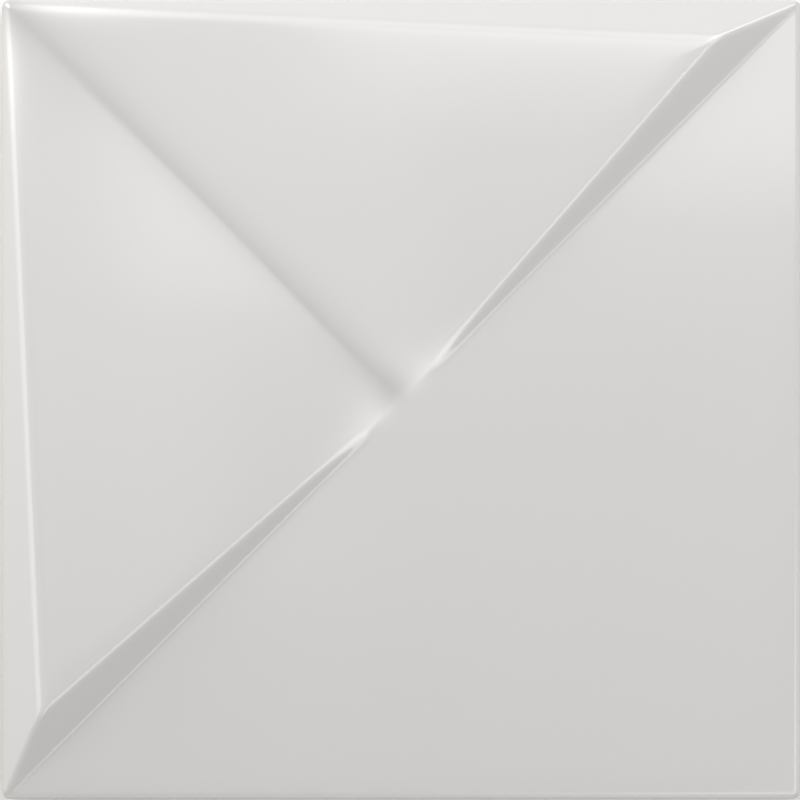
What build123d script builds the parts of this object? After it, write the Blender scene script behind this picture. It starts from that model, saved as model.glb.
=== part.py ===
"""Glazed wall tile with a folded relief: two raised triangles and one flat half.

The back lies on the XY plane and the glazed face looks up. Seen from above, a
valley runs from the top left corner to the middle, and each raised triangle
climbs from it to a peak near the next corner. Millimetres and degrees.
"""
import os
from math import atan2, cos, radians, sin, sqrt, tan

from build123d import *

# Sizes of the whole tile
tile_side = 150.0
flat_thickness = 8.0
relief_height = 4.8

# Slopes that fall from each peak, to the rim and to the flat half
rim_slope = 34.5
step_slope = 36.5

# Roundings that the die and the glaze leave
rim_radius = 1.2
ridge_radius = 2.5
corner_radius = 1.5

# Valley between the raised triangles, whose faces roll over into it
valley_rise = 0.45
valley_roll_radius = 70.0
valley_roll_angle = 5.0

# Back of the body: chamfered edge and square key pockets between ribs
back_chamfer = 0.8
key_depth = 0.8
key_side = 10.6
key_pitch = 13.4
key_draft = 30.0
back_border = 6.0

# Peak of the raised triangle on the right, from the slopes that meet there
half_side = tile_side / 2
rim_foot = rim_radius * (1 - tan(radians(rim_slope) / 2))
rim_run = relief_height / tan(radians(rim_slope))
step_run = relief_height / tan(radians(step_slope))
peak_level = flat_thickness + relief_height
peak_y = half_side - rim_foot - rim_run
peak_x = peak_y - step_run * sqrt(2)
peak = Vector(peak_x, peak_y, peak_level)
block_top = peak_level + relief_height

# Rim slope: where it would reach the back and the top of the block
slope_foot_y = half_side - rim_foot + flat_thickness / tan(radians(rim_slope))
slope_top_y = peak_y - rim_run

# Rounded rim: where its arc passes and where it turns into the rim slope
arc_half_angle = radians(90 + rim_slope) / 2
arc_mid_y = half_side - rim_radius * (1 - sin(arc_half_angle))
arc_mid_z = flat_thickness - rim_radius * (1 - cos(arc_half_angle))
arc_end_y = half_side - rim_radius * (1 - sin(radians(rim_slope)))
arc_end_z = flat_thickness - rim_radius * (1 - cos(radians(rim_slope)))

# Raised face: its slope, and where it starts to roll over into the valley
peak_reach = (peak_x + peak_y) / sqrt(2)
fold_base = flat_thickness + valley_rise
fold_angle = atan2(relief_height - valley_rise, peak_reach)
roll_start_angle = fold_angle + radians(valley_roll_angle)
roll_run = valley_roll_radius * (sin(roll_start_angle) - sin(fold_angle))
roll_level = fold_base + roll_run * tan(fold_angle)
far_level = fold_base + tile_side * tan(fold_angle)

# Upright planes across the valley and along it
to_corner = Vector(-1, 1, 0)
to_peak = Vector(1, 1, 0)
fold_plane = Plane(origin=(0, 0, 0), x_dir=to_peak, z_dir=-to_corner)
valley_plane = Plane(origin=(0, 0, 0), x_dir=to_corner, z_dir=to_peak)

os.makedirs("parts", exist_ok=True)

# One raised triangle, as a column from the back to the glazed face
with BuildPart() as raised_triangle:
    # The rim slope, the folded face and the step cut one another
    with BuildSketch(Plane.YZ):
        with BuildLine():
            Polyline(
                (slope_foot_y, 0),
                (slope_top_y, block_top),
                (-half_side, block_top),
                (-half_side, 0),
                close=True,
            )
        make_face()
    extrude(amount=tile_side, both=True)
    with BuildSketch(fold_plane):
        with BuildLine():
            Line((tile_side, far_level), (roll_run, roll_level))
            roll = JernArc(
                start=(roll_run, roll_level),
                tangent=(-cos(fold_angle), -sin(fold_angle)),
                radius=valley_roll_radius,
                arc_size=2 * valley_roll_angle,
            )
            Polyline(roll @ 1, ((roll @ 1).X, 0), (tile_side, 0), (tile_side, far_level))
        make_face()
    extrude(amount=tile_side, both=True, mode=Mode.INTERSECT)
    with BuildSketch(valley_plane):
        with BuildLine():
            Polyline(
                (-step_run, 0),
                (-step_run, flat_thickness - relief_height),
                (tile_side, flat_thickness + tile_side * tan(radians(step_slope))),
                (tile_side, 0),
                close=True,
            )
        make_face()
    extrude(amount=tile_side, both=True, mode=Mode.INTERSECT)
    # The three ridges that meet at the peak are rounded before the outline is cut
    peak_corner = raised_triangle.vertices().sort_by_distance(peak)[0]
    ridges = raised_triangle.edges().filter_by(lambda edge: peak_corner in edge.vertices())
    fillet(ridges, ridge_radius)
    with BuildSketch():
        with BuildLine():
            Polyline((-half_side, half_side), (half_side, half_side), (0, 0), close=True)
        make_face()
    extrude(amount=block_top, mode=Mode.INTERSECT)
    # The rounded rim, which the rim slope leaves at a tangent
    with BuildSketch(Plane.YZ):
        with BuildLine():
            Line((half_side, 0), (half_side, flat_thickness - rim_radius))
            ThreePointArc(
                (half_side, flat_thickness - rim_radius),
                (arc_mid_y, arc_mid_z),
                (arc_end_y, arc_end_z),
            )
            Line((arc_end_y, arc_end_z), (slope_top_y, block_top))
            Polyline((slope_top_y, block_top), (-half_side, block_top), (-half_side, 0), (half_side, 0))
        make_face()
    extrude(amount=tile_side, both=True, mode=Mode.INTERSECT)

# The flat half, below the step, with its two rounded rims
with BuildPart() as flat_half:
    with BuildSketch():
        with BuildLine():
            Polyline((half_side, half_side), (half_side, -half_side), (-half_side, -half_side), close=True)
        make_face()
    extrude(amount=flat_thickness)
    face_edges = flat_half.faces().sort_by(Axis.Z)[-1].edges()
    fillet(face_edges.filter_by(Axis.X) + face_edges.filter_by(Axis.Y), rim_radius)

# The whole tile, fired in one piece
with BuildPart() as wall_tile:
    add(raised_triangle.part)
    mirror(about=valley_plane)
    add(flat_half.part)
    with BuildSketch():
        RectangleRounded(tile_side, tile_side, corner_radius)
    extrude(amount=block_top, mode=Mode.INTERSECT)
    chamfer(wall_tile.faces().sort_by(Axis.Z)[0].outer_wire().edges(), back_chamfer)
    key_count = int((tile_side - 2 * back_border + key_pitch - key_side) // key_pitch)
    with BuildSketch():
        with GridLocations(key_pitch, key_pitch, key_count, key_count):
            Rectangle(key_side, key_side)
    extrude(amount=key_depth, taper=key_draft, mode=Mode.SUBTRACT)

wall_tile.part.label = "wall_tile"
export_step(wall_tile.part, "parts/wall_tile.step")
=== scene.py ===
"""Dresses the folded relief wall tile: its glazed face, its biscuit back and a plain studio stage."""
from math import pi, radians, sqrt

import bpy
from bpy.props import FloatProperty, FloatVectorProperty, IntProperty, PointerProperty
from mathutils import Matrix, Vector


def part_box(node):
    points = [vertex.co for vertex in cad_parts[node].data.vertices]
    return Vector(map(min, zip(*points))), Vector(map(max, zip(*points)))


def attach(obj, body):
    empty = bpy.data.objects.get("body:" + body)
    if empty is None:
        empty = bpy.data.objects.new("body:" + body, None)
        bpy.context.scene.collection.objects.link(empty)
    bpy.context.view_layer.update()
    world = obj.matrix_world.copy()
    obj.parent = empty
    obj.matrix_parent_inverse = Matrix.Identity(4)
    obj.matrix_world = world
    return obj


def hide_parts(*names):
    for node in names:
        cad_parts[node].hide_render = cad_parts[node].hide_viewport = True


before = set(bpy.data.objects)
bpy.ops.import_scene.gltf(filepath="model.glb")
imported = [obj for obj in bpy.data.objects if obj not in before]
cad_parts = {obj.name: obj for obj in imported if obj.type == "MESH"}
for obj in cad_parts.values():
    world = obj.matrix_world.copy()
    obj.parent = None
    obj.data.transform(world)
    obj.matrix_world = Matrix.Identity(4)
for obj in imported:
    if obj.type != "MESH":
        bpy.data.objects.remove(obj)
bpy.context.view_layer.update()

bl_info = {
    "name": "Folded relief wall tile",
    "version": (1, 0, 0),
    "blender": (4, 5, 0),
    "location": "3D View > Sidebar > Wall tile",
    "description": "Makes a glazed wall tile with two raised triangles, and a studio stage to show it on",
    "category": "Add Mesh",
}

MM = 0.001
NODE = "wall_tile"
LOW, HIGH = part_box(NODE)
HALF_ROOT = sqrt(0.5)

# Side of the picture, in pixels
PHOTO_PIXELS = 800

# Attributes that say where shade is painted along the valley and where highlights are painted along the ridges
CREASE_SHADE, RIDGE_HIGHLIGHT = "painted_crease_shade", "painted_ridge_highlight"

# Rows of the mesh from the edge of the face to the back, and how many of them below the face are glazed
SIDE_ROWS = ("face", "lip", "turn", "line", "chamfer", "back")
GLAZED_SIDE_ROWS = 3.0
SAME_ROW = 0.5

# Shares of the glaze's lip: how far its turn stands in, and how far its turn and its top lie above its line
LIP_TURN_IN, LIP_TURN_UP, LIP_TOP_UP = 0.3, 0.7, 2.0
NOISE_MEAN = 0.5

# How sharply the flat half bows down under the raised triangles, per metre
UNDER_BOW = 80.0

# How much faster the painted crease shade ends on the flat half, and how much of it is missing at the valley's
# mouth
FLAT_FADE, MOUTH_LACK = 3.0, 0.6

# How much faster the painted ridge highlight ends on a ridge's steep side, and how strong it is away from the
# step's low end
STEEP_FADE, FAR_HIGHLIGHT_SHARE = 4.0, 0.15

# Share of a key pocket's depth that only the face over its mouth lies below
LID_SHARE = 0.25

# An edge with fewer faces than this is open, and points nearer than this are joined
OPEN_EDGE_FACES = 1.5
WELD = 0.01 * MM

# Sizes of the textures on the glaze, the biscuit and the floor
CLOUD_SPAN, CLOUD_DEPTH = 30 * MM, 0.1
WAVE_SPAN, WAVE_HEIGHT = 14 * MM, 0.02 * MM
GRAIN_SPAN, GRAIN_HEIGHT = 0.9 * MM, 0.1 * MM
SPECK_START, SPECK_FULL = 0.52, 0.72
BOARD_SPAN = 60 * MM

# Inputs of a colour mix, and its output
MIX_SHARE, MIX_FROM, MIX_TO, MIX_COLOUR = 0, 6, 7, 2

# How far the floor reaches from the middle, and how far it lies under the tile
FLOOR_REACH, FLOOR_GAP = 3.0, 0.05 * MM

# Soft panels: height of the level ones, height and size of the standing ones, and watts per square metre at level 1
CEILING, WALL_MIDDLE, WALL = 0.42, 0.25, (0.62, 0.40)
PANEL_POWER = 4.0


def linear(hex_colour):
    """A colour written as sRGB hex, as the linear values that shaders take."""
    shares = [int(hex_colour[at:at + 2], 16) / 255 for at in (0, 2, 4)]
    return [share / 12.92 if share <= 0.04045 else ((share + 0.055) / 1.055) ** 2.4 for share in shares]


def add(tree, kind, *values, **settings):
    """Adds a node, applies its settings, then sets or links its inputs in order; gives its first output."""
    node = tree.nodes.new(kind)
    named = settings.pop("inputs", {})
    for name, setting in settings.items():
        setattr(node, name, setting)
    for socket, value in [*enumerate(values), *named.items()]:
        if isinstance(value, bpy.types.NodeSocket):
            tree.links.new(value, node.inputs[socket])
        elif value is not None:
            node.inputs[socket].default_value = value
    return node.outputs[0] if node.outputs else None


def length(name, millimetres, description):
    """A size of the tile, written in millimetres and kept in metres."""
    return FloatProperty(
        name=name, description=description, default=millimetres * MM, min=0.0, unit="LENGTH", precision=5
    )


def slope(name, degrees, description):
    """An angle of the tile, written in degrees."""
    return FloatProperty(name=name, description=description, default=radians(degrees), unit="ROTATION")


def colour(name, hex_colour, description):
    """A colour, written as sRGB hex."""
    return FloatVectorProperty(
        name=name, description=description, default=linear(hex_colour), subtype="COLOR"
    )


def level(name, amount, description):
    """How bright a light is: from about 1 it looks white."""
    return FloatProperty(name=name, description=description, default=amount, min=0.0)


class TileSizes(bpy.types.PropertyGroup):
    """Sizes of the tile's body, its folded relief and its back."""

    side: length("Side", (HIGH.x - LOW.x) / MM, "Side of the square tile")
    flat_thickness: length("Flat thickness", 8.0, "Thickness of the flat half")
    relief_height: length("Relief height", 4.88, "Height above the flat half where a peak's planes meet")
    rim_slope: slope("Rim slope", 34.5, "Slope from each peak to the rim")
    step_slope: slope("Step slope", 36.5, "Slope from each peak to the flat half")
    rim_radius: length("Rim radius", 1.2, "Rounding from the face to the side")
    corner_radius: length("Corner radius", 1.5, "Rounding of the tile's corners in plan")
    rim_softness: length("Rim ridge softness", 1.5, "Height over which the faces blend into the rim slope")
    step_softness: length("Step ridge softness", 0.6, "Height over which a folded face blends into the step")
    end_softness: length("End softness", 0.8, "How much softer the step's ridge is at its low end")
    end_reach: length("End reach", 14.0, "How far from the valley the step's low end lasts")
    end_swing: length("End swing", 1.0, "How far the foot of the step swings out at its low end")
    end_ease: FloatProperty(
        name="End ease", description="How much gentler the step is at its low end",
        default=0.68, subtype="FACTOR",
    )
    lip_drop: length("Lip drop", 0.35, "How far the folded faces roll over before a ridge")
    lip_reach: length("Lip reach", 0.9, "Height under a ridge over which that roll fades out")
    foot_softness: length("Foot softness", 0.2, "Height over which glaze fills the foot of the step")
    foot_reach: length("Foot reach", 0.3, "How far past the middle of the tile the foot of the step lies")
    valley_rise: length("Valley rise", 0.5, "Height of the folded faces above the flat half at the valley")
    valley_dip: length("Valley dip", 0.12, "How much deeper the faces roll over at the valley")
    valley_reach: length("Valley reach", 3.0, "How far from the valley the faces start to roll over")
    mouth_dip: length("Mouth dip", 0.27, "How much deeper the valley is where it opens onto the flat half")
    mouth_width: length("Mouth width", 5.0, "How far from the valley its mouth breaks the step's foot")
    mouth_reach: length("Mouth reach", 4.0, "How far up the valley that dip fades out")
    valley_softness: length("Valley softness", 0.4, "How far the glaze rounds the valley's crease")
    # Reach of the painted shade that darkens the glaze beside the valley's crease
    pool_reach: length("Pool reach", 2.4, "How far from the valley the glaze lies thicker")
    lead_depth: length("Lead-in depth", 0.3, "How far the flat half sinks towards its rims")
    lead_reach: length("Lead-in reach", 5.6, "How far from its rims the flat half starts to sink")
    glaze_line: length("Glaze line", 3.2, "Height on the side where the glaze ends")
    glaze_wander: length("Glaze wander", 0.5, "How far the glaze line wanders up and down")
    wander_span: length("Wander span", 22.0, "Distance over which the glaze line wanders")
    glaze_lip: length("Glaze lip", 0.15, "How far the glaze stands proud of the biscuit")
    back_chamfer: length("Back chamfer", 0.8, "Chamfer round the back")
    key_depth: length("Key depth", 0.8, "Depth of the key pockets in the back")
    key_side: length("Key side", 10.6, "Side of a key pocket at the back's surface")
    key_pitch: length("Key pitch", 13.4, "Distance from one key pocket to the next")
    key_draft: slope("Key draft", 30.0, "Slope of the pockets' walls")
    key_count: IntProperty(name="Key count", description="Key pockets along one side", default=10, min=1)
    face_rings: IntProperty(
        name="Face rings", description="Rows of mesh from the middle to the rim", default=140
    )
    rim_rings: IntProperty(name="Rim rings", description="Rows of mesh round the rim", default=6)
    edge_crowding: FloatProperty(
        name="Edge crowding", description="How much closer the rows lie near the rim",
        default=0.2, subtype="FACTOR",
    )


class TileFinish(bpy.types.PropertyGroup):
    """Colours of the glaze, of its painted crease shade and ridge highlight, and of the bare biscuit."""

    glaze: colour("Glaze", "C7C4C3", "Colour of the glaze")
    # Darker glaze colour, mixed in for faint random clouds and for painted shade along the valley's crease
    cloud_and_crease_shade: colour("Pooled glaze", "B4B1B0", "Colour where the glaze lies thicker")
    # Paler glaze colour, mixed in along the ridges as a painted highlight
    painted_ridge_highlight: colour("Thin glaze", "ECEAE8", "Colour where the glaze draws thin over a ridge")
    biscuit: colour("Biscuit", "D6C9B8", "Colour of the bare fired clay")
    biscuit_grog: colour("Grog", "BFAE99", "Colour of the coarser grains")
    glaze_roughness: FloatProperty(
        name="Glaze roughness", description="Roughness of the glaze", default=0.14, subtype="FACTOR"
    )


class StudioStage(bpy.types.PropertyGroup):
    """Floor, soft light and camera."""

    floor: colour("Floor", "E6E6E5", "Colour of the floor")
    floor_cloud: colour("Floor cloud", "E1E1E0", "Colour of the floor's faint clouds")
    light: colour("Light", "FDFFFE", "Colour of the panels' light")
    fill_level: level("Fill level", 0.362, "Light from all round")
    key_level: level("Key level", 1.55, "Panel over the tile's upper right, which shows on the faces")
    far_level: level("Far level", 3.2, "Panel beyond the key")
    back_level: level("Back level", 0.7, "Panel beyond the top ridge, which shows on it")
    corner_level: level("Corner level", 7.5, "Panel beyond the valley's outer end")
    left_level: level("Left level", 1.5, "Panel to the left, which shows on the left ridge")
    over_level: level("Over level", 0.4, "Small panel overhead, which shows on the folded faces alone")
    strip_level: level("Strip level", 1.7, "Narrow panel to the lower right, which shows along the steps")
    right_wall_level: level("Right wall level", 0.8, "Standing panel to the right")
    back_wall_level: level("Back wall level", 0.45, "Standing panel beyond the top ridge")
    corner_wall_level: level("Corner wall level", 1.7, "Standing panel beyond the valley's outer end")
    left_wall_level: level("Left wall level", 0.8, "Standing panel to the left")
    front_wall_level: level("Front wall level", 1.25, "Standing panel below the picture")
    step_wall_level: level("Step wall level", 0.15, "Standing panel that the steps face")
    camera_distance: FloatProperty(
        name="Camera distance", description="From the rim up to the camera", default=0.8, unit="LENGTH"
    )
    tile_pixels: FloatProperty(
        name="Tile in the picture", description="Side of the tile in the picture, in pixels", default=799.0
    )
    tile_offset: FloatVectorProperty(
        name="Tile offset",
        description="Middle of the tile from the picture's middle, right and up, in pixels",
        default=(1.5, 0.5), size=2,
    )


# Each row makes one value of the tile's shape from earlier ones: its name, what is done, and with what
PEAK_RULE = (
    # Where the rim slope would meet the level of the flat half, in from the side
    ("half_side", "MULTIPLY", "side", 0.5),
    ("rim_foot", "MULTIPLY", "rim_slope", 0.5),
    ("rim_foot", "TANGENT", "rim_foot"),
    ("rim_foot", "SUBTRACT", 1.0, "rim_foot"),
    ("rim_foot", "MULTIPLY", "rim_foot", "rim_radius"),
    # Slope of the folded faces, from the peak that the rim and step slopes leave
    ("rim_gain", "TANGENT", "rim_slope"),
    ("rim_run", "DIVIDE", "relief_height", "rim_gain"),
    ("step_gain", "TANGENT", "step_slope"),
    ("step_run", "DIVIDE", "relief_height", "step_gain"),
    ("peak_run", "SUBTRACT", "half_side", "rim_foot"),
    ("peak_run", "SUBTRACT", "peak_run", "rim_run"),
    ("peak_run", "MULTIPLY", "peak_run", 2 * HALF_ROOT),
    ("peak_run", "SUBTRACT", "peak_run", "step_run"),
    ("face_slope", "SUBTRACT", "relief_height", "valley_rise"),
    ("face_slope", "DIVIDE", "face_slope", "peak_run"),
)
PLAN_RULE = (
    # Ring of the grid that a point is on, counted from the middle
    ("abs_x", "ABSOLUTE", "grid_x"),
    ("abs_y", "ABSOLUTE", "grid_y"),
    ("ring", "MAXIMUM", "abs_x", "abs_y"),
    # Rows of the face, closer together near the rim
    ("share", "DIVIDE", "ring", "face_rings"),
    ("share", "MINIMUM", "share", 1.0),
    ("crowd", "MULTIPLY", "share", "share"),
    ("crowd", "SUBTRACT", 1.0, "crowd"),
    ("crowd", "MULTIPLY_ADD", "crowd", "edge_crowding", 1.0),
    ("share", "MULTIPLY", "share", "crowd"),
    ("face_left", "SUBTRACT", 1.0, "share"),
    ("face_run", "SUBTRACT", "half_side", "rim_radius"),
    # Turn of the rim, from level to upright
    ("past_face", "SUBTRACT", "ring", "face_rings"),
    ("rim_turn", "DIVIDE", "past_face", "rim_rings"),
    ("rim_turn", "MAXIMUM", "rim_turn", 0.0),
    ("rim_turn", "MINIMUM", "rim_turn", 1.0),
    ("rim_turn", "MULTIPLY", "rim_turn", pi / 2),
    ("rim_in", "SINE", "rim_turn"),
    ("rim_in", "SUBTRACT", 1.0, "rim_in"),
    ("rim_in", "MULTIPLY", "rim_in", "rim_radius"),
    ("inset", "MULTIPLY_ADD", "face_left", "face_run", "rim_in"),
    # Rows below the rim: two that turn the glaze's lip, its line, the chamfer and the back
    ("side_row", "SUBTRACT", "past_face", "rim_rings"),
    ("side_row", "MAXIMUM", "side_row", 0.0),
    *(("on_" + row, "COMPARE", "side_row", float(at), SAME_ROW) for at, row in enumerate(SIDE_ROWS)),
    # The biscuit below the glaze line stands in by the lip, and the back by the chamfer
    ("side_inset", "MULTIPLY_ADD", "on_turn", LIP_TURN_IN, "on_line"),
    ("side_inset", "ADD", "side_inset", "on_chamfer"),
    ("side_inset", "MULTIPLY", "side_inset", "glaze_lip"),
    ("side_inset", "MULTIPLY_ADD", "on_back", "back_chamfer", "side_inset"),
)
OUTLINE_RULE = (
    # Point of a square that is as far in from the sides as this ring
    ("plan_inset", "ADD", "inset", "side_inset"),
    ("reach", "SUBTRACT", "half_side", "plan_inset"),
    ("scale", "DIVIDE", "reach", "ring"),
    ("square_x", "MULTIPLY", "grid_x", "scale"),
    ("square_y", "MULTIPLY", "grid_y", "scale"),
    # The square's corners are rounded
    ("corner", "SUBTRACT", "corner_radius", "plan_inset"),
    ("corner", "MAXIMUM", "corner", 0.0),
    ("straight", "SUBTRACT", "reach", "corner"),
    ("other_straight", "MULTIPLY", "straight", -1.0),
    ("near_x", "MINIMUM", "square_x", "straight"),
    ("near_x", "MAXIMUM", "near_x", "other_straight"),
    ("near_y", "MINIMUM", "square_y", "straight"),
    ("near_y", "MAXIMUM", "near_y", "other_straight"),
    ("over_x", "SUBTRACT", "square_x", "near_x"),
    ("over_y", "SUBTRACT", "square_y", "near_y"),
    ("over", "MULTIPLY", "over_x", "over_x"),
    ("over", "MULTIPLY_ADD", "over_y", "over_y", "over"),
    ("over", "SQRT", "over"),
    ("pull", "DIVIDE", "corner", "over"),
    ("x", "MULTIPLY_ADD", "over_x", "pull", "near_x"),
    ("y", "MULTIPLY_ADD", "over_y", "pull", "near_y"),
)
RELIEF_RULE = (
    # Distance from the foot of the steps towards the valley's outer end, and from the valley
    ("across", "SUBTRACT", "y", "x"),
    ("across", "MULTIPLY", "across", HALF_ROOT),
    ("along", "ADD", "x", "y"),
    ("along", "MULTIPLY", "along", HALF_ROOT),
    ("along", "MULTIPLY", "along", "along"),
    ("along", "MULTIPLY_ADD", "valley_softness", "valley_softness", "along"),
    ("along", "SQRT", "along"),
    # Rounded rim, and the slope that leaves it at a tangent
    ("rim_drop", "COSINE", "rim_turn"),
    ("rim_drop", "SUBTRACT", 1.0, "rim_drop"),
    ("rim_drop", "MULTIPLY", "rim_drop", "rim_radius"),
    ("rim_level", "SUBTRACT", "flat_thickness", "rim_drop"),
    ("bevel", "SUBTRACT", "inset", "rim_foot"),
    ("bevel", "MULTIPLY_ADD", "bevel", "rim_gain", "flat_thickness"),
    ("round_here", "GREATER_THAN", "rim_turn", "rim_slope"),
    ("rim", "SUBTRACT", "rim_level", "bevel"),
    ("rim", "MULTIPLY_ADD", "rim", "round_here", "bevel"),
    # Folded face, which rolls over into the valley
    ("fold", "MULTIPLY_ADD", "along", "face_slope", "flat_thickness"),
    ("fold", "ADD", "fold", "valley_rise"),
    ("roll", "DIVIDE", "along", "valley_reach"),
    ("roll", "MULTIPLY", "roll", -1.0),
    ("roll", "EXPONENT", "roll"),
    ("mouth_run", "MAXIMUM", "across", 0.0),
    ("mouth_run", "DIVIDE", "mouth_run", "mouth_reach"),
    ("mouth_run", "MULTIPLY", "mouth_run", -1.0),
    ("dip", "EXPONENT", "mouth_run"),
    ("dip", "MULTIPLY_ADD", "dip", "mouth_dip", "valley_dip"),
    ("roll", "MULTIPLY", "roll", "dip"),
    ("fold", "SUBTRACT", "fold", "roll"),
    # Step down to the flat half, gentler at its low end by the valley
    ("end", "DIVIDE", "along", "end_reach"),
    ("end", "MULTIPLY", "end", "end"),
    ("end", "MULTIPLY", "end", -1.0),
    ("end", "EXPONENT", "end"),
    ("step", "MULTIPLY", "end", "end_ease"),
    ("step", "SUBTRACT", 1.0, "step"),
    ("step", "MULTIPLY", "step", "step_gain"),
    # Its foot swings out at the low end, but not across the valley's mouth
    ("gap", "DIVIDE", "along", "mouth_width"),
    ("gap", "MULTIPLY", "gap", "gap"),
    ("gap", "MULTIPLY", "gap", -1.0),
    ("gap", "EXPONENT", "gap"),
    ("gap", "SUBTRACT", 1.0, "gap"),
    ("foot_run", "MULTIPLY_ADD", "end", "end_swing", "foot_reach"),
    ("foot_run", "MULTIPLY", "foot_run", "gap"),
    ("foot_run", "ADD", "across", "foot_run"),
    ("step", "MULTIPLY_ADD", "foot_run", "step", "flat_thickness"),
    # The folded face rolls over before its ridges with the step and with the rim
    ("cut", "MINIMUM", "step", "rim"),
    ("lip", "SUBTRACT", "cut", "fold"),
    ("lip", "ADD", "lip", "lip_drop"),
    ("lip", "MAXIMUM", "lip", 0.0),
    ("lip", "DIVIDE", "lip", "lip_reach"),
    ("lip", "MULTIPLY", "lip", -1.0),
    ("lip", "EXPONENT", "lip"),
    ("lip", "MULTIPLY", "lip", "lip_drop"),
    ("fold", "SUBTRACT", "fold", "lip"),
    # The lowest of the three shows, with the ridges between them rounded
    ("step_blend", "MULTIPLY_ADD", "end", "end_softness", "step_softness"),
    ("raised", "SMOOTH_MIN", "fold", "step", "step_blend"),
    ("raised", "SMOOTH_MIN", "raised", "rim", "rim_softness"),
    # Flat half, which sinks a little towards its rims and passes under the raised triangles
    ("lead", "DIVIDE", "inset", "lead_reach"),
    ("lead", "SUBTRACT", 1.0, "lead"),
    ("lead", "MAXIMUM", "lead", 0.0),
    ("lead", "MULTIPLY", "lead", "lead"),
    ("lead", "MULTIPLY", "lead", "lead_depth"),
    ("flat", "SUBTRACT", "rim_level", "lead"),
    ("under", "MAXIMUM", "across", 0.0),
    ("under", "MULTIPLY", "under", "under"),
    ("under", "MULTIPLY", "under", UNDER_BOW),
    ("flat", "SUBTRACT", "flat", "under"),
    ("level", "SMOOTH_MAX", "flat", "raised", "foot_softness"),
)
GLAZE_RULE = (
    # Painted shade: the glaze is darkened near the valley's crease, fading faster onto the flat half and less so at
    # its mouth
    ("flat_run", "MULTIPLY", "across", -FLAT_FADE),
    ("flat_run", "MAXIMUM", "flat_run", 0.0),
    ("pool", "ADD", "along", "flat_run"),
    ("pool", "DIVIDE", "pool", "pool_reach"),
    ("pool", "MULTIPLY", "pool", -1.0),
    ("pool", "EXPONENT", "pool"),
    ("pool_left", "EXPONENT", "mouth_run"),
    ("pool_left", "MULTIPLY_ADD", "pool_left", -MOUTH_LACK, 1.0),
    ("pool", "MULTIPLY", "pool", "pool_left"),
    # Painted highlight: the glaze is lightened along each ridge, more on the folded face than on the steep side,
    # and most at the step's low end
    ("thin", "SUBTRACT", "cut", "fold"),
    ("beyond", "MULTIPLY", "thin", -STEEP_FADE),
    ("thin", "MAXIMUM", "thin", "beyond"),
    ("thin", "DIVIDE", "thin", "lip_reach"),
    ("thin", "MULTIPLY", "thin", -1.0),
    ("thin", "EXPONENT", "thin"),
    ("most", "MULTIPLY_ADD", "end", 1.0 - FAR_HIGHLIGHT_SHARE, FAR_HIGHLIGHT_SHARE),
    ("most", "MULTIPLY", "most", "gap"),
    ("thin", "MULTIPLY", "thin", "most"),
)
SIDE_RULE = (
    # The glaze ends on the side in a low lip, at a line that wanders
    ("wander", "SUBTRACT", "noise", NOISE_MEAN),
    ("line", "MULTIPLY_ADD", "wander", "glaze_wander", "glaze_line"),
    ("lip_top", "MULTIPLY_ADD", "glaze_lip", LIP_TOP_UP, "line"),
    ("lip_turn", "MULTIPLY_ADD", "glaze_lip", LIP_TURN_UP, "line"),
    ("height", "MULTIPLY", "on_face", "level"),
    ("height", "MULTIPLY_ADD", "on_lip", "lip_top", "height"),
    ("height", "MULTIPLY_ADD", "on_turn", "lip_turn", "height"),
    ("height", "MULTIPLY_ADD", "on_line", "line", "height"),
    ("height", "MULTIPLY_ADD", "on_chamfer", "back_chamfer", "height"),
    # Rings whose faces are glazed
    ("rings", "ADD", "face_rings", "rim_rings"),
    ("glaze_rings", "ADD", "rings", GLAZED_SIDE_ROWS),
)
POCKET_RULE = (
    # Half diagonals of a key pocket at its mouth and at its floor
    ("mouth", "MULTIPLY", "key_side", HALF_ROOT),
    ("taper", "TANGENT", "key_draft"),
    ("taper", "MULTIPLY", "taper", "key_depth"),
    ("taper", "MULTIPLY", "taper", 2 * HALF_ROOT),
    ("floor", "SUBTRACT", "mouth", "taper"),
    ("near_mouth", "MULTIPLY", "key_depth", LID_SHARE),
    # Distance from the first pocket to the last
    ("span", "SUBTRACT", "key_count", 1.0),
    ("span", "MULTIPLY", "span", "key_pitch"),
)


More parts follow.
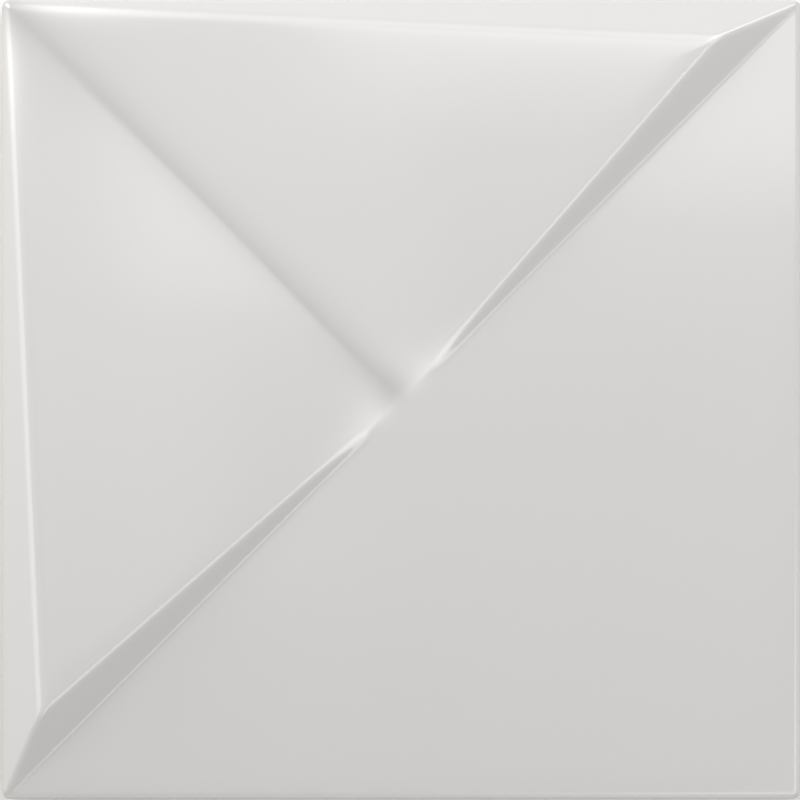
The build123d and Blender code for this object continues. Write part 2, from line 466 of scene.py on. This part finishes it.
def tile_tree(sizes):
    """The rule of the tile's shape as a node tree, and the identifiers of its inputs by size."""
    tree = bpy.data.node_groups.new("Folded relief tile", "GeometryNodeTree")
    tree.interface.new_socket("Tile", in_out="OUTPUT", socket_type="NodeSocketGeometry")
    identifiers = {}
    for name, prop in sizes.bl_rna.properties.items():
        kind = {"FLOAT": "NodeSocketFloat", "INT": "NodeSocketInt"}.get(prop.type)
        if kind:
            identifiers[name] = tree.interface.new_socket(prop.name, socket_type=kind).identifier
    for name in ("glaze", "biscuit"):
        socket = tree.interface.new_socket(name.title(), socket_type="NodeSocketMaterial")
        identifiers[name] = socket.identifier
    entry = add(tree, "NodeGroupInput").node
    value = {name: entry.outputs[at] for at, name in enumerate(identifiers)}

    def work_out(rule):
        for name, operation, *terms in rule:
            terms = [value.get(term, term) for term in terms]
            value[name] = add(tree, "ShaderNodeMath", *terms, operation=operation)

    # A grid whose rings become the rows of the face, the rim, the side and the chamfer
    work_out(PEAK_RULE)
    work_out((
        ("grid_side", "ADD", "face_rings", "rim_rings"),
        ("grid_side", "ADD", "grid_side", len(SIDE_ROWS) - 1),
        ("grid_side", "MULTIPLY", "grid_side", 2.0),
        ("grid_points", "ADD", "grid_side", 1.0),
    ))
    grid = add(
        tree, "GeometryNodeMeshGrid",
        value["grid_side"], value["grid_side"], value["grid_points"], value["grid_points"],
    )
    spot = add(tree, "ShaderNodeSeparateXYZ", add(tree, "GeometryNodeInputPosition")).node
    value["grid_x"], value["grid_y"] = spot.outputs["X"], spot.outputs["Y"]
    work_out(PLAN_RULE)
    work_out(OUTLINE_RULE)
    work_out(RELIEF_RULE)
    work_out(GLAZE_RULE)
    plan = add(tree, "ShaderNodeCombineXYZ", value["x"], value["y"], 0.0)
    busy = add(tree, "ShaderNodeMath", 1.0, value["wander_span"], operation="DIVIDE")
    value["noise"] = add(tree, "ShaderNodeTexNoise", inputs={"Vector": plan, "Scale": busy, "Detail": 3.0})
    work_out(SIDE_RULE)
    surface = add(tree, "ShaderNodeCombineXYZ", value["x"], value["y"], value["height"])

    # Which faces are glazed, and where shade and highlights are painted on the glaze, is remembered before the grid
    # is shaped
    ring_here = add(tree, "GeometryNodeFieldOnDomain", value["ring"], data_type="FLOAT", domain="FACE")
    above = add(tree, "ShaderNodeMath", ring_here, value["glaze_rings"], operation="LESS_THAN")
    keep = add(tree, "GeometryNodeCaptureAttribute", domain="FACE").node
    keep.capture_items.new("FLOAT", "Glazed")
    tree.links.new(grid, keep.inputs["Geometry"])
    tree.links.new(above, keep.inputs["Glazed"])
    glazed = keep.outputs["Glazed"]
    shell = keep.outputs["Geometry"]
    # Painted crease shade and painted ridge highlight, kept on the points for the glaze's colour
    for name, amount in ((CREASE_SHADE, value["pool"]), (RIDGE_HIGHLIGHT, value["thin"])):
        shell = add(
            tree, "GeometryNodeStoreNamedAttribute", shell,
            inputs={"Name": name, "Value": amount}, data_type="FLOAT", domain="POINT",
        )
    shell = add(tree, "GeometryNodeSetPosition", shell, None, surface)

    # Key pockets, open at the back
    work_out(POCKET_RULE)
    pocket = add(tree, "GeometryNodeMeshCone", fill_type="NGON", inputs={
        "Vertices": 4, "Depth": value["key_depth"],
        "Radius Top": value["floor"], "Radius Bottom": value["mouth"],
    })
    pocket_spot = add(tree, "ShaderNodeSeparateXYZ", add(tree, "GeometryNodeInputPosition")).node
    lid = add(tree, "ShaderNodeMath", pocket_spot.outputs["Z"], value["near_mouth"], operation="LESS_THAN")
    pocket = add(tree, "GeometryNodeDeleteGeometry", pocket, lid, domain="FACE")
    pocket = add(tree, "GeometryNodeFlipFaces", pocket)
    pocket = add(tree, "GeometryNodeTransform", pocket, inputs={"Rotation": (0.0, 0.0, pi / 4)})
    spots = add(
        tree, "GeometryNodeMeshGrid",
        value["span"], value["span"], value["key_count"], value["key_count"],
    )
    pockets = add(tree, "GeometryNodeInstanceOnPoints", spots, inputs={"Instance": pocket})

    # Back between the pockets, out to the chamfer
    sides = add(tree, "GeometryNodeInputMeshEdgeNeighbors")
    open_edge = add(tree, "ShaderNodeMath", sides, OPEN_EDGE_FACES, operation="LESS_THAN")
    outline = add(tree, "GeometryNodeMeshToCurve", shell, open_edge)
    mouth_line = add(
        tree, "GeometryNodeCurvePrimitiveQuadrilateral",
        inputs={"Width": value["key_side"], "Height": value["key_side"]},
    )
    mouths = add(tree, "GeometryNodeInstanceOnPoints", spots, inputs={"Instance": mouth_line})
    mouths = add(tree, "GeometryNodeRealizeInstances", mouths)
    lines = add(tree, "GeometryNodeJoinGeometry").node
    for line in (outline, mouths):
        tree.links.new(line, lines.inputs[0])
    back = add(tree, "GeometryNodeFillCurve", lines.outputs[0])
    back = add(tree, "GeometryNodeFlipFaces", back)

    # One closed body, smooth where it is glazed
    whole = add(tree, "GeometryNodeJoinGeometry").node
    for piece in (shell, back, pockets):
        tree.links.new(piece, whole.inputs[0])
    body = add(tree, "GeometryNodeRealizeInstances", whole.outputs[0])
    body = add(tree, "GeometryNodeMergeByDistance", body, inputs={"Distance": WELD})
    body = add(tree, "GeometryNodeSetShadeSmooth", body, None, glazed)
    body = add(tree, "GeometryNodeSetMaterial", body, inputs={"Material": value["biscuit"]})
    body = add(tree, "GeometryNodeSetMaterial", body, glazed, value["glaze"])
    add(tree, "NodeGroupOutput", body)
    return tree, identifiers


def blank_material(name):
    """A material without a look yet, its node tree, and the place on the object that its textures take."""
    material = bpy.data.materials.new(name)
    material.use_nodes = True
    tree = material.node_tree
    tree.nodes.clear()
    return material, tree, add(tree, "ShaderNodeTexCoord").node.outputs["Object"]


def white_gloss_glaze(finish):
    """White tin glaze, flowed glassy smooth in the kiln: a hard gloss whose reflections waver a little,
    over a colour with faint random clouds, darkened by painted shade along the valley and made paler by painted
    highlights along the ridges."""
    material, tree, place = blank_material("white_gloss_glaze")
    cloud = add(tree, "ShaderNodeTexNoise", inputs={"Vector": place, "Scale": 1 / CLOUD_SPAN, "Detail": 2.0})
    pool = add(tree, "ShaderNodeAttribute", attribute_name=CREASE_SHADE).node.outputs["Fac"]
    thin = add(tree, "ShaderNodeAttribute", attribute_name=RIDGE_HIGHLIGHT).node.outputs["Fac"]
    # Faint random clouds plus the painted crease shade, towards the darker glaze colour
    depth = add(tree, "ShaderNodeMath", cloud, CLOUD_DEPTH, pool, operation="MULTIPLY_ADD")
    tint = add(tree, "ShaderNodeMix", data_type="RGBA", inputs={
        MIX_SHARE: depth, MIX_FROM: (*finish.glaze, 1.0), MIX_TO: (*finish.cloud_and_crease_shade, 1.0),
    }).node.outputs[MIX_COLOUR]
    # Painted highlight along the ridges, towards the paler glaze colour
    tint = add(tree, "ShaderNodeMix", data_type="RGBA", inputs={
        MIX_SHARE: thin, MIX_FROM: tint, MIX_TO: (*finish.painted_ridge_highlight, 1.0),
    }).node.outputs[MIX_COLOUR]
    wave = add(tree, "ShaderNodeTexNoise", inputs={"Vector": place, "Scale": 1 / WAVE_SPAN, "Detail": 1.0})
    bump = add(tree, "ShaderNodeBump", inputs={"Strength": 0.1, "Distance": WAVE_HEIGHT, "Height": wave})
    shader = add(tree, "ShaderNodeBsdfPrincipled", inputs={
        "Base Color": tint, "Roughness": finish.glaze_roughness, "IOR": 1.65, "Normal": bump,
    })
    add(tree, "ShaderNodeOutputMaterial", shader)
    return material


def bare_biscuit(finish):
    """Pressed and fired clay without glaze: chalky and matt, with fine grog showing as darker specks."""
    material, tree, place = blank_material("bare_biscuit")
    grain = add(tree, "ShaderNodeTexNoise", inputs={"Vector": place, "Scale": 1 / GRAIN_SPAN, "Detail": 4.0})
    specks = add(tree, "ShaderNodeMapRange", inputs={
        "Value": grain, "From Min": SPECK_START, "From Max": SPECK_FULL,
    })
    tint = add(tree, "ShaderNodeMix", data_type="RGBA", inputs={
        MIX_SHARE: specks, MIX_FROM: (*finish.biscuit, 1.0), MIX_TO: (*finish.biscuit_grog, 1.0),
    }).node.outputs[MIX_COLOUR]
    bump = add(tree, "ShaderNodeBump", inputs={"Strength": 0.5, "Distance": GRAIN_HEIGHT, "Height": grain})
    shader = add(tree, "ShaderNodeBsdfPrincipled", inputs={
        "Base Color": tint, "Roughness": 0.9, "IOR": 1.5, "Normal": bump,
    })
    add(tree, "ShaderNodeOutputMaterial", shader)
    return material


def matt_board(stage):
    """Pale studio board: matt, with a faint cloudiness that keeps it from looking like bare screen."""
    material, tree, place = blank_material("matt_board")
    cloud = add(tree, "ShaderNodeTexNoise", inputs={"Vector": place, "Scale": 1 / BOARD_SPAN, "Detail": 3.0})
    tint = add(tree, "ShaderNodeMix", data_type="RGBA", inputs={
        MIX_SHARE: cloud, MIX_FROM: (*stage.floor, 1.0), MIX_TO: (*stage.floor_cloud, 1.0),
    }).node.outputs[MIX_COLOUR]
    shader = add(tree, "ShaderNodeBsdfPrincipled", inputs={"Base Color": tint, "Roughness": 0.9, "IOR": 1.3})
    add(tree, "ShaderNodeOutputMaterial", shader)
    return material


class TILE_OT_make_tile(bpy.types.Operator):
    """Make the glazed tile in place of the plain solid"""

    bl_idname = "tile.make_tile"
    bl_label = "Make the tile"

    def execute(self, context):
        sizes = context.scene.tile_sizes
        finish = context.scene.tile_finish
        tree, identifiers = tile_tree(sizes)
        tile = bpy.data.objects.new("glazed_wall_tile", bpy.data.meshes.new("glazed_wall_tile"))
        context.scene.collection.objects.link(tile)
        shape = tile.modifiers.new("Folded relief", "NODES")
        shape.node_group = tree
        made = {"glaze": white_gloss_glaze(finish), "biscuit": bare_biscuit(finish)}
        for name, identifier in identifiers.items():
            shape[identifier] = made[name] if name in made else getattr(sizes, name)
        context.view_layer.update()
        graph = context.evaluated_depsgraph_get()
        mesh = bpy.data.meshes.new_from_object(tile.evaluated_get(graph), depsgraph=graph)
        tile.modifiers.clear()
        tile.data = mesh
        mesh.name = "glazed_wall_tile"
        # The grid brings an empty slot with it
        for at in reversed(range(len(mesh.materials))):
            if mesh.materials[at] is None:
                mesh.materials.pop(index=at)
        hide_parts(NODE)
        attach(tile, "root")
        return {"FINISHED"}


class TILE_OT_set_stage(bpy.types.Operator):
    """Set the floor, the soft lights and the camera"""

    bl_idname = "tile.set_stage"
    bl_label = "Set the stage"

    # Soft panels by name: place and size in metres, lean from level and turn about the upright in degrees
    panels = {
        "key": ((0.125, 0.18, CEILING), (0.35, 0.24), 0, 0),
        "far": ((0.30, 0.45, CEILING), (0.40, 0.30), 0, 0),
        "back": ((-0.10, 0.45, CEILING), (0.40, 0.30), 0, 0),
        "corner": ((-0.45, 0.45, CEILING), (0.30, 0.30), 0, 0),
        "left": ((-0.575, 0.0, CEILING), (0.25, 0.45), 0, 0),
        "over": ((-0.065, 0.03, CEILING), (0.09, 0.16), 0, 0),
        "strip": ((0.212, -0.212, CEILING), (0.48, 0.16), 0, 45),
        "right_wall": ((0.80, 0.0, WALL_MIDDLE), WALL, 90, 90),
        "back_wall": ((0.0, 0.80, WALL_MIDDLE), WALL, 90, 180),
        "corner_wall": ((-0.566, 0.566, WALL_MIDDLE), WALL, 90, 225),
        "left_wall": ((-0.80, 0.0, WALL_MIDDLE), WALL, 90, 270),
        "front_wall": ((0.0, -0.80, WALL_MIDDLE), WALL, 90, 0),
        "step_wall": ((0.566, -0.566, WALL_MIDDLE), WALL, 90, 45),
    }

    def execute(self, context):
        stage = context.scene.tile_stage
        self.lay_floor(context, stage)
        self.light_surround(context, stage)
        for name, (place, size, lean, turn) in self.panels.items():
            turns = radians(lean), 0.0, radians(turn)
            self.hang_panel(context, stage, name, place, size, turns)
        self.aim_camera(context, stage)
        context.scene.view_settings.view_transform = "Standard"
        return {"FINISHED"}

    def lay_floor(self, context, stage):
        """A pale floor just under the tile."""
        mesh = bpy.data.meshes.new("floor")
        signs = ((-1, -1), (1, -1), (1, 1), (-1, 1))
        corners = [(x * FLOOR_REACH, y * FLOOR_REACH, -FLOOR_GAP) for x, y in signs]
        mesh.from_pydata(corners, [], [(0, 1, 2, 3)])
        floor = bpy.data.objects.new("floor", mesh)
        context.scene.collection.objects.link(floor)
        mesh.materials.append(matt_board(stage))

    def light_surround(self, context, stage):
        """Even light from all round."""
        world = bpy.data.worlds.new("surround")
        world.use_nodes = True
        tree = world.node_tree
        tree.nodes.clear()
        white = (*linear("FFFFFF"), 1.0)
        background = add(tree, "ShaderNodeBackground", white, stage.fill_level)
        add(tree, "ShaderNodeOutputWorld", background)
        context.scene.world = world

    def hang_panel(self, context, stage, name, place, size, turns):
        """A soft light panel, which faces the floor unless it leans."""
        lamp = bpy.data.lights.new(name + "_panel", "AREA")
        lamp.shape = "RECTANGLE"
        lamp.size, lamp.size_y = size
        lamp.energy = PANEL_POWER * size[0] * size[1] * getattr(stage, name + "_level")
        lamp.color = stage.light
        panel = bpy.data.objects.new(name + "_panel", lamp)
        panel.location = place
        panel.rotation_euler = turns
        panel.visible_camera = False
        context.scene.collection.objects.link(panel)

    def aim_camera(self, context, stage):
        """Straight down on the tile, which fills the picture."""
        sizes = context.scene.tile_sizes
        camera = bpy.data.cameras.new("camera")
        pixel = sizes.side / stage.tile_pixels
        camera.lens = camera.sensor_width * stage.camera_distance / (pixel * PHOTO_PIXELS)
        eye = bpy.data.objects.new("camera", camera)
        rim = sizes.flat_thickness - sizes.rim_radius
        right, up = stage.tile_offset
        eye.location = (-right * pixel, -up * pixel, rim + stage.camera_distance)
        context.scene.collection.objects.link(eye)
        context.scene.camera = eye


class TILE_PT_panel(bpy.types.Panel):
    """Lists what the tile and its stage are made from"""

    bl_label = "Wall tile"
    bl_idname = "TILE_PT_panel"
    bl_space_type = "VIEW_3D"
    bl_region_type = "UI"
    bl_category = "Wall tile"

    def draw(self, context):
        layout = self.layout
        for group in (context.scene.tile_sizes, context.scene.tile_finish, context.scene.tile_stage):
            box = layout.box()
            for name in type(group).__annotations__:
                box.prop(group, name)
        layout.operator(TILE_OT_make_tile.bl_idname)
        layout.operator(TILE_OT_set_stage.bl_idname)


CLASSES = (TileSizes, TileFinish, StudioStage, TILE_OT_make_tile, TILE_OT_set_stage, TILE_PT_panel)


def register():
    for kind in CLASSES:
        bpy.utils.register_class(kind)
    bpy.types.Scene.tile_sizes = PointerProperty(type=TileSizes)
    bpy.types.Scene.tile_finish = PointerProperty(type=TileFinish)
    bpy.types.Scene.tile_stage = PointerProperty(type=StudioStage)


def unregister():
    del bpy.types.Scene.tile_stage
    del bpy.types.Scene.tile_finish
    del bpy.types.Scene.tile_sizes
    for kind in reversed(CLASSES):
        bpy.utils.unregister_class(kind)


def main():
    register()
    bpy.ops.tile.make_tile()
    bpy.ops.tile.set_stage()


if __name__ == "__main__":
    main()
